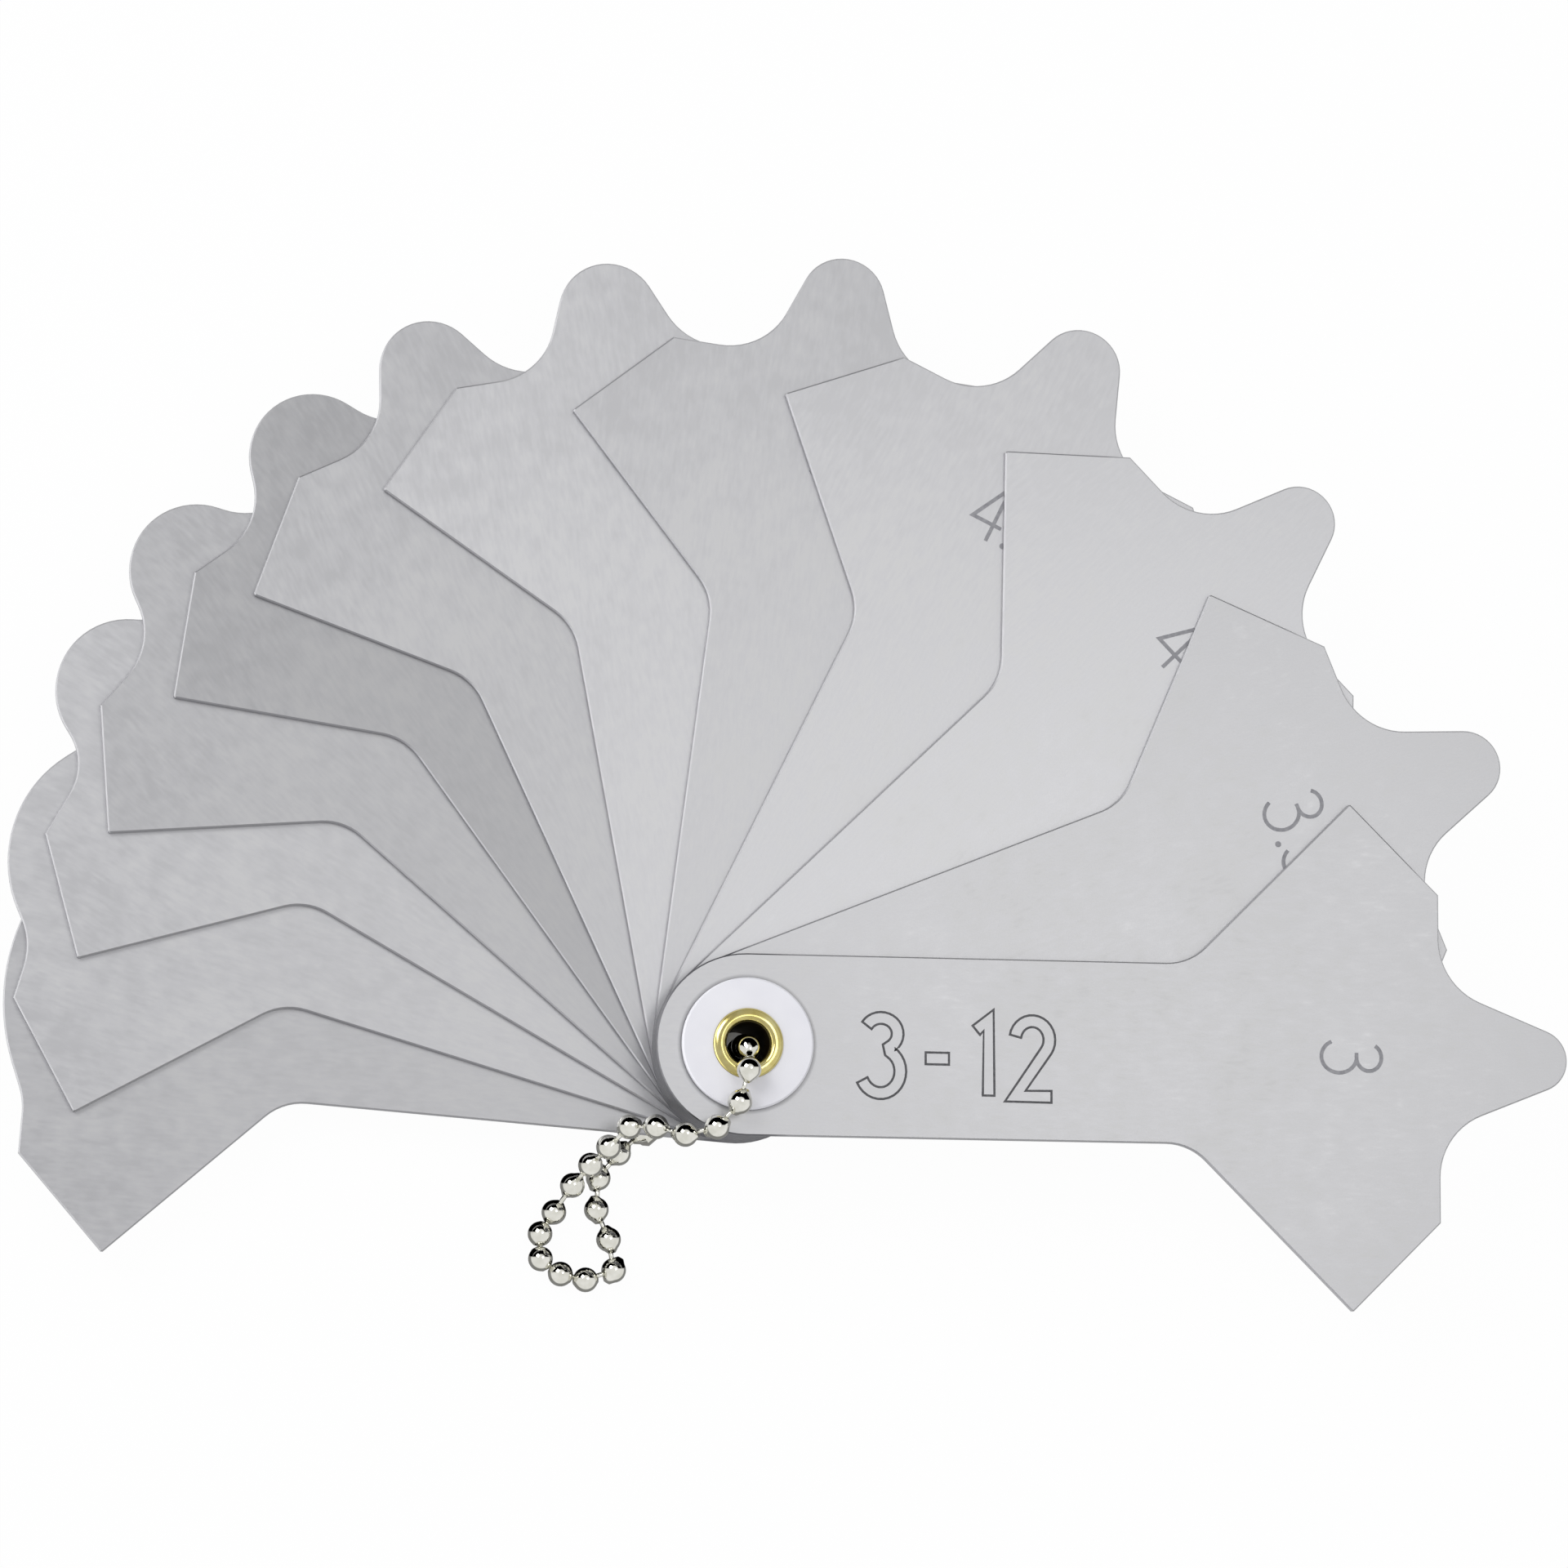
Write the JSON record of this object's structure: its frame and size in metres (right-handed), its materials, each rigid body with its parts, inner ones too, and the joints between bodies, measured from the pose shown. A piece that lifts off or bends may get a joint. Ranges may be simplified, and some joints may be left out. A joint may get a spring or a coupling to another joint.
{
  "type": "weld seam gauge",
  "caption": "Fan of graded flat blades with 45 degree heads and rounded noses, on one hollow rivet with a ball chain loop, for checking fillet weld throats.",
  "frame": {"origin": "on the pivot axis, at the foot of the hollow rivet's back rim", "axes": "+Z along the pivot axis towards the front washer, +X along the arm of the smallest, front blade"},
  "size_m": [0.1381, 0.0936, 0.0151],
  "materials": {
    "blade_sheet": "satin rolled sheet",
    "rivet_brass": "bright rolled rim",
    "washer_plastic": "white nylon",
    "chain_nickel": "nickel plated"
  },
  "bodies": {
    "root": {"rivet": "rivet_brass", "front_washer": "washer_plastic", "back_washer": "washer_plastic", "chain_front_run": "chain_nickel", "chain_back_run": "chain_nickel", "chain_clasp": "chain_nickel"},
    "blade_3": {"blade_3": "blade_sheet"},
    "blade_3_5": {"blade_3_5": "blade_sheet"},
    "blade_4": {"blade_4": "blade_sheet"},
    "blade_4_5": {"blade_4_5": "blade_sheet"},
    "blade_5": {"blade_5": "blade_sheet"},
    "blade_5_5": {"blade_5_5": "blade_sheet"},
    "blade_6": {"blade_6": "blade_sheet"},
    "blade_6_5": {"blade_6_5": "blade_sheet"},
    "blade_7": {"blade_7": "blade_sheet"},
    "blade_8": {"blade_8": "blade_sheet"},
    "blade_10": {"blade_10": "blade_sheet"},
    "blade_12": {"blade_12": "blade_sheet"}
  },
  "joints": [
    {"name": "blade_3_swing", "type": "hinge", "parent": "root", "child": "blade_3", "pos_m": [0, 0, 0], "axis": [0, 0, 1], "range_deg": [-40, 156]},
    {"name": "blade_3_5_swing", "type": "hinge", "parent": "root", "child": "blade_3_5", "pos_m": [0, 0, 0], "axis": [0, 0, 1], "range_deg": [-62.1, 133.9]},
    {"name": "blade_4_swing", "type": "hinge", "parent": "root", "child": "blade_4", "pos_m": [0, 0, 0], "axis": [0, 0, 1], "range_deg": [-84, 112]},
    {"name": "blade_4_5_swing", "type": "hinge", "parent": "root", "child": "blade_4_5", "pos_m": [0, 0, 0], "axis": [0, 0, 1], "range_deg": [-104, 92]},
    {"name": "blade_5_swing", "type": "hinge", "parent": "root", "child": "blade_5", "pos_m": [0, 0, 0], "axis": [0, 0, 1], "range_deg": [-122.7, 73.3]},
    {"name": "blade_5_5_swing", "type": "hinge", "parent": "root", "child": "blade_5_5", "pos_m": [0, 0, 0], "axis": [0, 0, 1], "range_deg": [-140.7, 55.3]},
    {"name": "blade_6_swing", "type": "hinge", "parent": "root", "child": "blade_6", "pos_m": [0, 0, 0], "axis": [0, 0, 1], "range_deg": [-155.25, 40.75]},
    {"name": "blade_6_5_swing", "type": "hinge", "parent": "root", "child": "blade_6_5", "pos_m": [0, 0, 0], "axis": [0, 0, 1], "range_deg": [-166.5, 29.5]},
    {"name": "blade_7_swing", "type": "hinge", "parent": "root", "child": "blade_7", "pos_m": [0, 0, 0], "axis": [0, 0, 1], "range_deg": [-179.45, 20.55]},
    {"name": "blade_8_swing", "type": "hinge", "parent": "root", "child": "blade_8", "pos_m": [0, 0, 0], "axis": [0, 0, 1], "range_deg": [-190.5, 11.5]},
    {"name": "blade_10_swing", "type": "hinge", "parent": "root", "child": "blade_10", "pos_m": [0, 0, 0], "axis": [0, 0, 1], "range_deg": [-203.65, 2.35]},
    {"name": "blade_12_swing", "type": "hinge", "parent": "root", "child": "blade_12", "pos_m": [0, 0, 0], "axis": [0, 0, 1], "range_deg": [-215.8, 0.2]}
  ]
}
